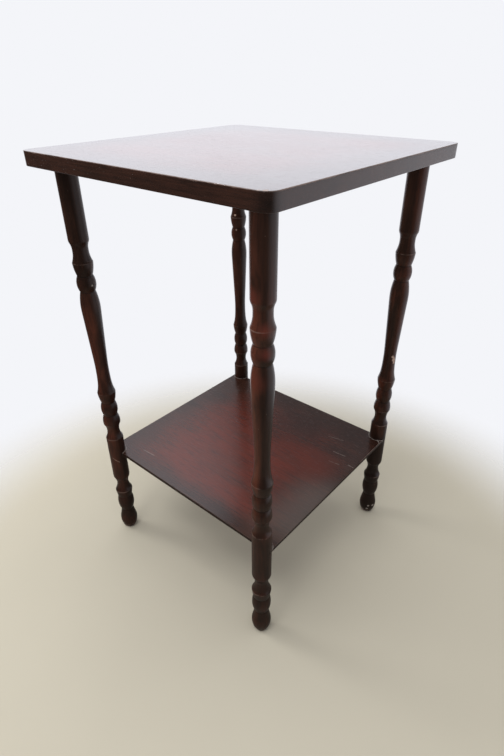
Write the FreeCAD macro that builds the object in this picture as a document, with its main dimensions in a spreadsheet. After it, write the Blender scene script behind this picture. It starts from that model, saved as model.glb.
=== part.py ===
import FreeCAD, Part
import os
import Sketcher
from FreeCAD import Placement, Rotation, Vector

# A square end table. The board top stands on four turned legs, and a thin shelf sits in saw kerfs
# low in the legs. The origin is on the floor under the middle of the top, with +Z up, +X to the
# right and +Y to the back. All sizes are in millimetres.

SIZES = [
    # The whole table and its top
    ("table_height", 660, "floor to the upper face of the top"),
    ("top_width", 400, "top, side to side"),
    ("top_depth", 400, "top, front to back"),
    ("top_thickness", 18, "top board"),
    ("top_corner_radius", 14, "rounding of the top's corners, seen from above"),
    ("top_arris_radius", 0.8, "easing of the top's edges"),
    ("leg_inset", 37, "edge of the top to the axis of a leg"),
    # The shelf and its kerfs
    ("shelf_thickness", 5.5, "shelf board"),
    ("shelf_seat_rise", 48.5, "lower end of the shelf post to the shelf's underside"),
    ("shelf_setback", 0.3, "end of the shelf inside the outermost line of the posts"),
    ("shelf_arris_radius", 0.5, "easing of the shelf's edges"),
    ("shelf_edge_gap", 0.1, "edge of the shelf to the back of the kerf"),
    ("kerf_clearance", 0.2, "room above the shelf in the kerf"),
    # The hanger bolts and insert nuts that hold the legs
    ("bolt_wood_radius", 3.2, "bolt's wood thread"),
    ("bolt_machine_radius", 3, "bolt's machine thread"),
    ("bolt_leg_reach", 36, "bolt inside the leg"),
    ("bolt_nut_room", 1, "end of the bolt inside the end of the nut"),
    ("bolt_tip_rise", 7, "pointed end of the wood thread"),
    ("bolt_bevel", 0.6, "bevel at the machine end"),
    ("insert_wall", 1.9, "insert nut's wall"),
    ("insert_bevel", 0.8, "bevel at the insert nut's inner end"),
    ("insert_cover", 5, "wood left between the insert nut's hole and the upper face"),
    ("bore_clearance", 0.1, "room round a bolt or nut in its hole"),
    ("bore_end_room", 1, "room beyond the end of a bolt, nut or nail in its hole"),
    # The nails that hold the shelf
    ("nail_radius", 0.8, "nail's shank"),
    ("nail_bite", 13, "nail inside the shelf"),
    ("nail_point_rise", 2.4, "nail's point"),
    ("nail_head_rim", 0.7, "nail's head beyond its shank"),
    ("nail_head_height", 1.2, "nail's head"),
    ("nail_sink", 0.2, "head below the surface of the leg"),
    ("nail_clearance", 0.05, "room round a nail in its hole"),
    # Cuts
    ("cut_overrun", 2, "how far a cut runs past the surface that it opens"),
    # The turned leg, step by step from the floor: the rise of a step, the radius at its upper end and,
    # where its arc needs one, the radius half way up. Two plain lengths, the body of the vase and the
    # top post, share the height that the other steps leave.
    ("vase_body_share", 0.47, "share of that height in the body of the vase"),
    ("foot_base_radius", 9.5, "flat end that stands on the floor"),
    ("foot_rise", 28.5, "foot"),
    ("foot_radius", 13.6, "radius at its upper end"),
    ("foot_belly", 14.4, "radius half way up"),
    ("ankle_rise", 16, "hollow above the foot"),
    ("ankle_radius", 10.5, "radius at its upper end"),
    ("ankle_bead_rise", 31.5, "bead above the foot"),
    ("ankle_bead_radius", 12, "radius at its upper end"),
    ("ankle_bead_belly", 14.15, "radius half way up"),
    ("low_collar_rise", 15.5, "lowest collar, up to its sharp rim"),
    ("low_collar_radius", 14.6, "radius at its upper end"),
    ("low_collar_belly", 13.55, "radius half way up"),
    ("low_hollow_rise", 17.5, "hollow above the lowest collar"),
    ("low_hollow_radius", 9.8, "radius at its upper end"),
    ("low_hollow_belly", 11, "radius half way up"),
    ("shelf_post_cove_rise", 13, "hollow under the shelf post"),
    ("shelf_post_cove_radius", 13.4, "radius at its upper end"),
    ("shelf_post_cove_belly", 10.9, "radius half way up"),
    ("shelf_post_foot_rise", 4, "rounded lower end of the shelf post"),
    ("shelf_post_foot_radius", 14, "radius at its upper end"),
    ("shelf_post_foot_belly", 13.88, "radius half way up"),
    ("shelf_post_rise", 84, "straight post that holds the shelf"),
    ("mid_cove_rise", 29, "cove above the shelf post"),
    ("mid_cove_radius", 13.7, "radius at its upper end"),
    ("mid_cove_belly", 10, "radius half way up"),
    ("mid_roll_rise", 18, "roll above the cove"),
    ("mid_roll_radius", 10.9, "radius at its upper end"),
    ("mid_roll_belly", 13.55, "radius half way up"),
    ("mid_bead_rise", 24.5, "bead above the roll"),
    ("mid_bead_radius", 10.7, "radius at its upper end"),
    ("mid_bead_belly", 13.3, "radius half way up"),
    ("mid_collar_rise", 19, "middle collar, up to its sharp rim"),
    ("mid_collar_radius", 14.3, "radius at its upper end"),
    ("mid_collar_belly", 13.2, "radius half way up"),
    ("vase_foot_rise", 18, "hollow above the middle collar"),
    ("vase_foot_radius", 10.8, "radius at its upper end"),
    ("vase_waist_rise", 40.5, "waist of the vase"),
    ("vase_waist_radius", 10.3, "radius at its upper end"),
    ("vase_body_radius", 13.95, "tapered body of the vase, radius at its upper end"),
    ("vase_shoulder_rise", 30, "round shoulder of the vase"),
    ("vase_shoulder_radius", 10.8, "radius at its upper end"),
    ("high_bead_rise", 23.5, "bead above the vase"),
    ("high_bead_radius", 10.9, "radius at its upper end"),
    ("high_bead_belly", 13.6, "radius half way up"),
    ("high_collar_rise", 19, "highest collar, up to its sharp rim"),
    ("high_collar_radius", 14.3, "radius at its upper end"),
    ("high_collar_belly", 13.3, "radius half way up"),
    ("high_hollow_rise", 17.5, "hollow above the highest collar"),
    ("high_hollow_radius", 11, "radius at its upper end"),
    ("high_hollow_belly", 11.65, "radius half way up"),
    ("top_post_cove_rise", 11.5, "hollow under the top post"),
    ("top_post_cove_radius", 13.5, "radius at its upper end"),
    ("top_post_cove_belly", 11.5, "radius half way up"),
    ("top_post_foot_rise", 3.2, "rounded lower end of the top post"),
    ("top_post_foot_radius", 14, "radius at its upper end"),
    ("top_post_foot_belly", 13.88, "radius half way up"),
]

# How the outline of a turned leg runs, step by step from the floor to the top. A swell is an arc
# through the radius half way up, and may be hollow. A step that leaves or arrives is an arc in line
# with the step before or after it. A taper is straight, and a post is straight and upright.
TURNING = [
    ("foot", "swell"),
    ("ankle", "leaving"),
    ("ankle_bead", "swell"),
    ("low_collar", "swell"),
    ("low_hollow", "swell"),
    ("shelf_post_cove", "swell"),
    ("shelf_post_foot", "swell"),
    ("shelf_post", "post"),
    ("mid_cove", "swell"),
    ("mid_roll", "swell"),
    ("mid_bead", "swell"),
    ("mid_collar", "swell"),
    ("vase_foot", "arriving"),
    ("vase_waist", "arriving"),
    ("vase_body", "taper"),
    ("vase_shoulder", "leaving"),
    ("high_bead", "swell"),
    ("high_collar", "swell"),
    ("high_hollow", "swell"),
    ("top_post_cove", "swell"),
    ("top_post_foot", "swell"),
    ("top_post", "post"),
]

# The four corners, each with its side along X and along Y
CORNERS = [("front_right", 1, -1), ("front_left", -1, -1), ("back_right", 1, 1), ("back_left", -1, 1)]

# How a sketch numbers the points of a line, arc or circle, its origin and its axes
START, END, CENTRE = range(1, 4)
LEVEL_AXIS, UPRIGHT_AXIS = range(-1, -3, -1)
ORIGIN = (LEVEL_AXIS, START)

doc = FreeCAD.newDocument("EndTable")
sheet = doc.addObject("Spreadsheet::Sheet", "Sizes")


def fill_sheet():
    """Writes every driving size into the sheet, with its meaning beside it."""
    for row, (alias, size, meaning) in enumerate(SIZES, start=1):
        sheet.set(f"A{row}", meaning)
        sheet.set(f"B{row}", str(size))
        sheet.setAlias(f"B{row}", alias)
    doc.recompute()


def of(*names):
    """Expression for the sum of some sizes."""
    return "(" + " + ".join("Sizes." + name for name in names) + ")"


def value(expression):
    """What an expression of the sizes comes to, where None stands for zero."""
    return 0 if expression is None else float(sheet.evalExpression(expression))


UNDERSIDE = "(Sizes.table_height - Sizes.top_thickness)"
RISES = {name: of(f"{name}_rise") for name, kind in TURNING}
OTHER_RISES = [rise for name, rise in RISES.items() if name not in ("vase_body", "top_post")]
PLAIN_HEIGHT = f"({UNDERSIDE} - ({' + '.join(OTHER_RISES)}))"
RISES["vase_body"] = f"{PLAIN_HEIGHT} * Sizes.vase_body_share"
RISES["top_post"] = f"{PLAIN_HEIGHT} * (1 - Sizes.vase_body_share)"

LEG_X = "(Sizes.top_width / 2 - Sizes.leg_inset)"
LEG_Y = "(Sizes.top_depth / 2 - Sizes.leg_inset)"
POST_RADIUS = of("shelf_post_foot_radius")

BELOW_SHELF_POST = " + ".join(list(RISES.values())[: list(RISES).index("shelf_post")])
SHELF_BOTTOM = f"({BELOW_SHELF_POST} + Sizes.shelf_seat_rise)"
SHELF_MIDDLE = f"({SHELF_BOTTOM} + Sizes.shelf_thickness / 2)"
SHELF_HALF_WIDTH = f"({LEG_X} + {POST_RADIUS} - Sizes.shelf_setback)"
SHELF_HALF_DEPTH = f"({LEG_Y} - Sizes.shelf_edge_gap)"

INSERT_HOLE_DEPTH = "(Sizes.top_thickness - Sizes.insert_cover)"
INSERT_LENGTH = f"({INSERT_HOLE_DEPTH} - Sizes.bore_end_room)"
INSERT_BORE = of("bolt_machine_radius", "bore_clearance")
INSERT_RADIUS = f"({INSERT_BORE} + Sizes.insert_wall)"
BOLT_LENGTH = f"(Sizes.bolt_leg_reach + {INSERT_LENGTH} - Sizes.bolt_nut_room)"

NAIL_START = f"({LEG_Y} + {POST_RADIUS} - Sizes.nail_sink)"
NAIL_LENGTH = f"({NAIL_START} - {SHELF_HALF_DEPTH} + Sizes.nail_bite)"
NAIL_HEAD_RADIUS = of("nail_radius", "nail_head_rim")
NAIL_HOLE_RADIUS = of("nail_radius", "nail_clearance")


def new_body(label):
    """Empty body of one piece of the table."""
    body = doc.addObject("PartDesign::Body", label)
    body.Label = label
    return body


def place(body, x, y, z, rotation=Rotation()):
    """Puts a piece at expressions of the sizes."""
    body.Placement = Placement(Vector(), rotation)
    body.setExpression("Placement.Base.x", x)
    body.setExpression("Placement.Base.y", y)
    body.setExpression("Placement.Base.z", z)


def sketch_on(body, role, name, offset=None):
    """Sketch on one of the body's own planes, or at an offset along the plane's normal."""
    sketch = body.newObject("Sketcher::SketchObject", f"{body.Name}_{name}")
    plane = next(feature for feature in body.Origin.OriginFeatures if feature.Role == role)
    sketch.AttachmentSupport = (plane, [""])
    sketch.MapMode = "FlatFace"
    if offset:
        sketch.setExpression("AttachmentOffset.Base.z", offset)
    return sketch


def shape_with(body, kind, name, sketch):
    """Feature of a body that a sketch shapes."""
    feature = body.newObject(f"PartDesign::{kind}", f"{body.Name}_{name}")
    feature.Profile = sketch
    return feature


def turn(body, kind, name, sketch):
    """Revolution or groove all the way round the body's upright axis."""
    feature = shape_with(body, kind, name, sketch)
    feature.ReferenceAxis = (sketch, ["V_Axis"])
    feature.Angle = 360


def round_edges(body, name, base, chosen, radius):
    """Rounds the edges of a feature that the chosen test picks."""
    doc.recompute()
    edges = [f"Edge{number}" for number, edge in enumerate(base.Shape.Edges, start=1) if chosen(edge)]
    rounding = body.newObject("PartDesign::Fillet", f"{body.Name}_{name}")
    rounding.Base = (base, edges)
    rounding.setExpression("Radius", radius)
    return rounding


def is_upright(edge):
    """Whether an edge runs along Z rather than round a level face."""
    return edge.BoundBox.ZLength > edge.BoundBox.XLength + edge.BoundBox.YLength


def is_level(edge):
    """Whether an edge runs round a level face."""
    return not is_upright(edge)


def dimension(sketch, kind, places, expression):
    """Dimension of a sketch, bound to an expression of the sizes."""
    number = sketch.addConstraint(Sketcher.Constraint(kind, *places, value(expression)))
    sketch.setExpression(f"Constraints[{number}]", expression)


def fix_point(sketch, point, x, y, side_x=1, side_y=1):
    """Holds a point at two expressions on given sides of the origin, where None means on the axis."""
    ways = (("DistanceX", x, side_x, UPRIGHT_AXIS), ("DistanceY", y, side_y, LEVEL_AXIS))
    for kind, distance, side, axis in ways:
        if distance is None:
            sketch.addConstraint(Sketcher.Constraint("PointOnObject", *point, axis))
        else:
            ends = (*ORIGIN, *point) if side > 0 else (*point, *ORIGIN)
            dimension(sketch, kind, ends, distance)


def draw_loop(sketch, points):
    """Closed outline of straight lines, joined end to end."""
    ends = points[1:] + points[:1]
    lines = [sketch.addGeometry(Part.LineSegment(*pair)) for pair in zip(points, ends)]
    for before, line in zip(lines[-1:] + lines[:-1], lines):
        sketch.addConstraint(Sketcher.Constraint("Coincident", before, END, line, START))
    return lines


def draw_polygon(sketch, corners):
    """Closed outline through corners given as pairs of expressions, where None means on the axis."""
    lines = draw_loop(sketch, [Vector(value(x), value(y)) for x, y in corners])
    for line, (x, y) in zip(lines, corners):
        fix_point(sketch, (line, START), x, y)


def draw_rectangle(sketch, half_width, half_depth):
    """Rectangle centred on the origin."""
    sides = [(-1, -1), (1, -1), (1, 1), (-1, 1)]
    corners = [Vector(x * value(half_width), y * value(half_depth)) for x, y in sides]
    for line, (side_x, side_y) in zip(draw_loop(sketch, corners), sides):
        fix_point(sketch, (line, START), half_width, half_depth, side_x, side_y)


def draw_circle(sketch, x, y, radius, side_x=1, side_y=1):
    """Circle about a point given as for fix_point."""
    centre = Vector(side_x * value(x), side_y * value(y))
    circle = sketch.addGeometry(Part.Circle(centre, Vector(0, 0, 1), value(radius)))
    dimension(sketch, "Radius", (circle,), radius)
    fix_point(sketch, (circle, CENTRE), x, y, side_x, side_y)


def turns_left(start, end, centre):
    """Whether a short arc from start to end bends to the left."""
    return (end - start).cross(centre - start).z > 0


def heading(start, end, centre, at):
    """Direction of travel at a point of a line, or of an arc about a centre."""
    if centre is None:
        return (end - start).normalize()
    spoke = (at - centre).normalize()
    return Vector(-spoke.y, spoke.x) if turns_left(start, end, centre) else Vector(spoke.y, -spoke.x)


def centre_leaving(start, direction, end):
    """Centre of the arc that leaves start in a direction and reaches end."""
    chord = end - start
    across = Vector(-direction.y, direction.x)
    return start + across * (chord.dot(chord) / (2 * chord.dot(across)))


def turned_outline():
    """Ends of the steps of a leg's outline, the points half way up its swells and its arcs' centres."""
    ends = [Vector(value(of("foot_base_radius")), 0)]
    bellies = []
    centres = []
    for name, kind in TURNING:
        start = ends[-1]
        rise = value(RISES[name])
        end = Vector(start.x if kind == "post" else value(of(f"{name}_radius")), start.y + rise)
        belly = Vector(value(of(f"{name}_belly")), start.y + rise / 2) if kind == "swell" else None
        ends.append(end)
        bellies.append(belly)
        centres.append(Part.Circle(start, belly, end).Center if belly else None)
    spans = list(zip(ends, ends[1:]))
    kinds = [kind for name, kind in TURNING]
    for number in reversed(range(len(kinds))):
        if kinds[number] == "arriving":
            start, end = spans[number]
            ahead = heading(*spans[number + 1], centres[number + 1], end)
            centres[number] = centre_leaving(end, -ahead, start)
    for number, kind in enumerate(kinds):
        if kind == "leaving":
            start, end = spans[number]
            behind = heading(*spans[number - 1], centres[number - 1], start)
            centres[number] = centre_leaving(start, behind, end)
    return spans, bellies, centres


def draw_span(sketch, start, end, centre):
    """Line or short arc from start to end: its number, and which of its points those two are."""
    if centre is None:
        return sketch.addGeometry(Part.LineSegment(start, end)), START, END
    circle = Part.Circle(centre, Vector(0, 0, 1), (start - centre).Length)
    left = turns_left(start, end, centre)
    first, last = (start, end) if left else (end, start)
    arc = sketch.addGeometry(Part.ArcOfCircle(circle, circle.parameter(first), circle.parameter(last)))
    return (arc, START, END) if left else (arc, END, START)


def draw_turning(sketch):
    """Half section of a leg: out along the floor, up the turned side and back down the axis."""
    spans, bellies, centres = turned_outline()
    base = sketch.addGeometry(Part.LineSegment(Vector(), spans[0][0]))
    fix_point(sketch, (base, START), None, None)
    fix_point(sketch, (base, END), of("foot_base_radius"), None)
    last, last_kind = (base, END), "base"
    for (name, kind), span, belly, centre in zip(TURNING, spans, bellies, centres):
        line, lower, upper = draw_span(sketch, *span, centre)
        in_line = kind == "leaving" or last_kind == "arriving"
        joint = "Tangent" if in_line else "Coincident"
        sketch.addConstraint(Sketcher.Constraint(joint, *last, line, lower))
        dimension(sketch, "DistanceY", (line, lower, line, upper), RISES[name])
        if kind == "post":
            sketch.addConstraint(Sketcher.Constraint("Vertical", line))
        else:
            dimension(sketch, "DistanceX", (*ORIGIN, line, upper), of(f"{name}_radius"))
        if kind == "swell":
            mark = sketch.addGeometry(Part.Point(belly), True)
            sketch.addConstraint(Sketcher.Constraint("PointOnObject", mark, START, line))
            dimension(sketch, "DistanceY", (line, lower, mark, START), f"{RISES[name]} / 2")
            dimension(sketch, "DistanceX", (*ORIGIN, mark, START), of(f"{name}_belly"))
        last, last_kind = (line, upper), kind
    corner = spans[-1][1]
    middle = Vector(0, corner.y)
    cap = sketch.addGeometry(Part.LineSegment(corner, middle))
    core = sketch.addGeometry(Part.LineSegment(middle, Vector()))
    sketch.addConstraint(Sketcher.Constraint("Coincident", *last, cap, START))
    sketch.addConstraint(Sketcher.Constraint("Horizontal", cap))
    sketch.addConstraint(Sketcher.Constraint("PointOnObject", cap, END, UPRIGHT_AXIS))
    sketch.addConstraint(Sketcher.Constraint("Coincident", cap, END, core, START))
    sketch.addConstraint(Sketcher.Constraint("Coincident", core, END, base, START))


def make_leg(label, side_x, side_y):
    """Turned leg with a kerf for the shelf, a bore for the bolt and a hole for the nail."""
    body = new_body(label)
    turning = sketch_on(body, "XZ_Plane", "turning")
    draw_turning(turning)
    turn(body, "Revolution", "turned", turning)

    # The kerf runs right across the leg, and from its axis out through the side that faces in
    kerf = sketch_on(body, "YZ_Plane", "kerf")
    reach = f"({POST_RADIUS} + Sizes.cut_overrun)"
    kerf_top = f"({SHELF_BOTTOM} + {of('shelf_thickness', 'kerf_clearance')})"
    draw_polygon(kerf, [(None, SHELF_BOTTOM), (reach, SHELF_BOTTOM), (reach, kerf_top), (None, kerf_top)])
    sawn = shape_with(body, "Pocket", "kerf_cut", kerf)
    sawn.SideType = "Symmetric"
    sawn.setExpression("Length", f"2 * {reach}")

    # The bore goes down from the leg's upper end
    bore = sketch_on(body, "XZ_Plane", "bore")
    radius = of("bolt_wood_radius", "bore_clearance")
    floor = f"({UNDERSIDE} - {of('bolt_leg_reach', 'bore_end_room')})"
    mouth = f"({UNDERSIDE} + Sizes.cut_overrun)"
    draw_polygon(bore, [(None, floor), (radius, floor), (radius, mouth), (None, mouth)])
    turn(body, "Groove", "bore_cut", bore)

    # The nail's hole goes from the kerf to the outer side, where it widens for the head
    hole = sketch_on(body, "XZ_Plane", "nail_hole")
    draw_circle(hole, None, SHELF_MIDDLE, NAIL_HOLE_RADIUS)
    seat = sketch_on(body, "XZ_Plane", "nail_seat", f"{POST_RADIUS} - {of('nail_sink', 'nail_head_height')}")
    draw_circle(seat, None, SHELF_MIDDLE, f"({NAIL_HEAD_RADIUS} + Sizes.nail_clearance)")
    for sketch, name in ((hole, "nail_hole_cut"), (seat, "nail_seat_cut")):
        drilled = shape_with(body, "Pocket", name, sketch)
        drilled.Type = "ThroughAll"
        drilled.Reversed = True

    facing_in = Rotation() if side_y < 0 else Rotation(Vector(0, 0, 1), 180)
    place(body, f"{side_x} * {LEG_X}", f"{side_y} * {LEG_Y}", "0", facing_in)
    return body


def make_top():
    """Square board with rounded corners, eased edges and blind holes for the insert nuts."""
    body = new_body("table_top")
    board = sketch_on(body, "XY_Plane", "board")
    draw_rectangle(board, "Sizes.top_width / 2", "Sizes.top_depth / 2")
    pad = shape_with(body, "Pad", "board_pad", board)
    pad.setExpression("Length", "Sizes.top_thickness")
    cornered = round_edges(body, "corners", pad, is_upright, "Sizes.top_corner_radius")
    round_edges(body, "arrises", cornered, is_level, "Sizes.top_arris_radius")

    holes = sketch_on(body, "XY_Plane", "insert_holes")
    for corner, side_x, side_y in CORNERS:
        draw_circle(holes, LEG_X, LEG_Y, f"({INSERT_RADIUS} + Sizes.bore_clearance)", side_x, side_y)
    drilled = shape_with(body, "Pocket", "insert_holes_cut", holes)
    drilled.Reversed = True
    drilled.setExpression("Length", INSERT_HOLE_DEPTH)
    place(body, "0", "0", UNDERSIDE)
    return body


def make_shelf():
    """Thin board that reaches across the legs and into their kerfs, with a hole for each nail."""
    body = new_body("shelf")
    board = sketch_on(body, "XY_Plane", "board")
    draw_rectangle(board, SHELF_HALF_WIDTH, SHELF_HALF_DEPTH)
    pad = shape_with(body, "Pad", "board_pad", board)
    pad.setExpression("Length", "Sizes.shelf_thickness")
    round_edges(body, "arrises", pad, is_level, "Sizes.shelf_arris_radius")

    for edge, side_y in (("front", -1), ("back", 1)):
        holes = sketch_on(body, "XZ_Plane", f"{edge}_nail_holes", f"{-side_y} * {SHELF_HALF_DEPTH}")
        for side_x in (-1, 1):
            draw_circle(holes, LEG_X, "Sizes.shelf_thickness / 2", NAIL_HOLE_RADIUS, side_x)
        drilled = shape_with(body, "Pocket", f"{edge}_nail_holes_cut", holes)
        drilled.Reversed = side_y > 0
        drilled.setExpression("Length", of("nail_bite", "bore_end_room"))
    place(body, "0", "0", SHELF_BOTTOM)
    return body


def make_hanger_bolt(label, side_x, side_y):
    """Bolt with a pointed wood thread below and a machine thread above."""
    body = new_body(label)
    outline = sketch_on(body, "XZ_Plane", "outline")
    draw_polygon(
        outline,
        [
            (None, None),
            ("Sizes.bolt_wood_radius", "Sizes.bolt_tip_rise"),
            ("Sizes.bolt_wood_radius", "Sizes.bolt_leg_reach"),
            ("Sizes.bolt_machine_radius", "Sizes.bolt_leg_reach"),
            ("Sizes.bolt_machine_radius", f"{BOLT_LENGTH} - Sizes.bolt_bevel"),
            ("Sizes.bolt_machine_radius - Sizes.bolt_bevel", BOLT_LENGTH),
            (None, BOLT_LENGTH),
        ],
    )
    turn(body, "Revolution", "turned", outline)
    place(body, f"{side_x} * {LEG_X}", f"{side_y} * {LEG_Y}", f"{UNDERSIDE} - Sizes.bolt_leg_reach")
    return body


def make_insert_nut(label, side_x, side_y):
    """Threaded sleeve, flush with the underside of the top, that the bolt screws into."""
    body = new_body(label)
    outline = sketch_on(body, "XZ_Plane", "outline")
    draw_polygon(
        outline,
        [
            (INSERT_BORE, None),
            (INSERT_RADIUS, None),
            (INSERT_RADIUS, f"{INSERT_LENGTH} - Sizes.insert_bevel"),
            (f"{INSERT_RADIUS} - Sizes.insert_bevel", INSERT_LENGTH),
            (INSERT_BORE, INSERT_LENGTH),
        ],
    )
    turn(body, "Revolution", "turned", outline)
    place(body, f"{side_x} * {LEG_X}", f"{side_y} * {LEG_Y}", UNDERSIDE)
    return body


def make_shelf_nail(label, side_x, side_y):
    """Headed nail, driven from the outer side of the leg into the edge of the shelf."""
    body = new_body(label)
    outline = sketch_on(body, "XZ_Plane", "outline")
    draw_polygon(
        outline,
        [
            (None, None),
            (NAIL_HEAD_RADIUS, None),
            (NAIL_HEAD_RADIUS, "Sizes.nail_head_height"),
            ("Sizes.nail_radius", "Sizes.nail_head_height"),
            ("Sizes.nail_radius", f"{NAIL_LENGTH} - Sizes.nail_point_rise"),
            (None, NAIL_LENGTH),
        ],
    )
    turn(body, "Revolution", "turned", outline)
    driven_in = Rotation(Vector(1, 0, 0), side_y * 90)
    place(body, f"{side_x} * {LEG_X}", f"{side_y} * {NAIL_START}", SHELF_MIDDLE, driven_in)
    return body


def make_table():
    """All pieces of the table."""
    pieces = [make_top(), make_shelf()]
    for corner, side_x, side_y in CORNERS:
        pieces.append(make_leg(f"leg_{corner}", side_x, side_y))
        pieces.append(make_hanger_bolt(f"hanger_bolt_{corner}", side_x, side_y))
        pieces.append(make_insert_nut(f"insert_nut_{corner}", side_x, side_y))
        pieces.append(make_shelf_nail(f"shelf_nail_{corner}", side_x, side_y))
    doc.recompute()
    return pieces


def check_table(pieces):
    """Stops where a feature failed, a piece has no sound shape or a cut takes no wood away."""
    for thing in doc.Objects:
        if "Invalid" in thing.State or "Error" in thing.State:
            raise RuntimeError(f"{thing.Label} was not made: {thing.State}")
        if thing.TypeId in ("PartDesign::Pocket", "PartDesign::Groove"):
            if not thing.Shape.Volume < thing.BaseFeature.Shape.Volume:
                raise RuntimeError(f"{thing.Label} cuts nothing")
    for piece in pieces:
        if piece.Shape.isNull() or not piece.Shape.isValid():
            raise RuntimeError(f"{piece.Label} has no sound shape")


fill_sheet()
table = make_table()
check_table(table)
os.makedirs("parts", exist_ok=True)
for piece in table:
    piece.Shape.exportStep(os.path.join("parts", f"{piece.Label}.step"))
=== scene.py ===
"""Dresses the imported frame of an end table: a square top, four turned legs and a shelf, in stained wood."""

import math

import bmesh
import bpy
import numpy as np
from mathutils import Matrix, Vector


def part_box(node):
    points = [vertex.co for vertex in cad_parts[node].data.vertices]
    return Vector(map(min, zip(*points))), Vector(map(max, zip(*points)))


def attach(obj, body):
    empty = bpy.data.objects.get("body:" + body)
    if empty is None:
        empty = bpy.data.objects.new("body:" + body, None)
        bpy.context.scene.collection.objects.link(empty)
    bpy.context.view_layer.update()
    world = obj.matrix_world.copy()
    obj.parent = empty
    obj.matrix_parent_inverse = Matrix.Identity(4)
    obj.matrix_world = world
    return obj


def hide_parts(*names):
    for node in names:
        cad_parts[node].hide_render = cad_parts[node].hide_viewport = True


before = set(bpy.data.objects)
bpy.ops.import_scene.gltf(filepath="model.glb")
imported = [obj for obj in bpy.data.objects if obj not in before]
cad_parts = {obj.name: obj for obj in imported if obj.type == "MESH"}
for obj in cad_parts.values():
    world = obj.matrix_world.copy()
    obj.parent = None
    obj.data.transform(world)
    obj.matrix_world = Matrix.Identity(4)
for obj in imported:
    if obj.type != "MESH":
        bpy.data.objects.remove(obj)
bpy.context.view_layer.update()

bl_info = {
    "name": "Turned Leg End Table",
    "version": (1, 0, 0),
    "blender": (4, 5, 0),
    "location": "View3D > Sidebar > End Table",
    "description": "Top, turned legs, shelf and fixings of an end table, in worn stained wood",
    "category": "Add Mesh",
}

CORNERS = ("front_right", "front_left", "back_right", "back_left")
TOP_BOX, SHELF_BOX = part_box("table_top"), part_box("shelf")
MM = 0.001

# An edge is shaded sharp where it turns by more than the first angle; a leg's outline breaks at the second
SHARP_TURN, RIM_TURN = math.radians(38), math.radians(20)

# Points nearer to each other than the first are merged, and slivers thinner than the second are dissolved
MERGE_REACH, SLIVER = 2e-6, 1e-7

# Step between the heights at which a leg's outline is worked out
LEG_STEP = 0.2 * MM

# How each leg has worn and where light is painted on it: the bearing of its lit side, the heights between
# which red light is painted on that side and how strongly, its gloss, and its marks. A place on a leg is a
# bearing in degrees, a distance from its axis and a height.
LEG_WEAR = {
    "front_right": {
        "lit_bearing": -110, "faded": (0.24, 0.60), "fade": 0.85, "gloss": 0.42, "marks": (
            ("bloom", "stain_red", 0.55, (-44, 0.0140, 0.517), 0.012),
            ("bloom", "stain_red", 0.60, (-34, 0.0140, 0.489), 0.012),
            ("bloom", "stain_red", 0.35, (-82, 0.0140, 0.453), 0.018),
            ("bloom", "stain_red", 0.45, (-102, 0.0140, 0.553), 0.014))},
    "front_left": {
        "lit_bearing": -63, "faded": (0.08, 0.47), "fade": 0.75, "gloss": 0.24, "marks": (
            ("chip", "dust", 0.7, (1, 0.0140, 0.4835), 0.0022),
            ("scratch", "bare_wood", 0.5, (-74, 0.0140, 0.1715), (-52, 0.0140, 0.1670), 0.0013),
            ("scratch", "bare_wood", 0.5, (-52, 0.0140, 0.1670), (-29, 0.0140, 0.1625), 0.0013))},
    "back_right": {
        "lit_bearing": -14, "faded": (0.26, 0.90), "fade": 0.45, "gloss": 0.38, "marks": (
            ("chip", "bare_wood", 0.8, (-34, 0.0114, 0.3455), 0.0034),
            ("chip", "bare_wood", 0.8, (-22, 0.0111, 0.3405), 0.0042),
            ("chip", "bare_wood", 0.8, (-13, 0.0113, 0.3350), 0.0034),
            ("chip", "dust", 0.7, (-1, 0.0135, 0.2995), 0.0022),
            ("chip", "dust", 0.8, (-20, 0.0142, 0.0200), 0.0030),
            ("chip", "dust", 0.8, (-56, 0.0141, 0.0200), 0.0024),
            ("chip", "dust", 0.8, (-63, 0.0134, 0.0115), 0.0026))},
    "back_left": {
        "lit_bearing": -78, "faded": (0.20, 0.90), "fade": 0.40, "gloss": 0.34, "marks": (
            # The first chip is a painted glint on the upper bead, laid in the bare wood colour
            ("chip", "bare_wood", 0.9, (-77, 0.0135, 0.5205), 0.0026),
            ("chip", "bare_wood", 0.5, (-68, 0.0131, 0.4945), 0.0026))},
}

# Marks on the top, placed from the near corner of its upper face
TOP_MARKS = (
    ("chip", "bare_wood", 0.9, (-0.0084, 0.0050, 0.0), 0.0034),
    ("chip", "bare_wood", 0.7, (-0.0140, 0.0018, 0.0), 0.0022),
    ("bloom", "grime_and_shade", 0.75, (-0.0030, 0.0030, -0.0100), 0.024),
)

# Marks on the upper face of the shelf, by their places seen from above
SHELF_MARKS = (
    ("scratch", "dust", 0.36, (-0.1265, -0.1340), (-0.1015, -0.1320), 0.0026),
    ("scratch", "dust", 0.26, (0.0975, 0.1045), (0.1240, 0.1105), 0.0024),
    ("scratch", "dust", 0.30, (0.1275, 0.0740), (0.1495, 0.0760), 0.0026),
    ("scratch", "dust", 0.26, (0.1345, 0.0485), (0.1525, 0.0510), 0.0024),
    ("scratch", "dust", 0.30, (0.1650, 0.0600), (0.1745, 0.0595), 0.0026),
    ("scratch", "rubbed_and_highlight", 0.55, (SHELF_BOX[1].x, 0.080), (SHELF_BOX[1].x, 0.152), 0.0030),
    ("scratch", "dust", 0.60, (0.1700, 0.1500), (SHELF_BOX[1].x, 0.1440), 0.0036),
    # Painted sheen: two wide blooms that grey the near corner, laid in the dust colour
    ("bloom", "dust", 0.18, (0.172, -0.105), 0.090),
    ("bloom", "dust", 0.14, (0.165, -0.030), 0.070),
    # Painted shade: a dark patch on the shelf towards the back right, under the top
    ("bloom", "stain_dark", 0.60, (0.050, 0.095), 0.075),
    ("bloom", "shelf_middle", 0.58, (0.126, 0.022), 0.060),
)


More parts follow.
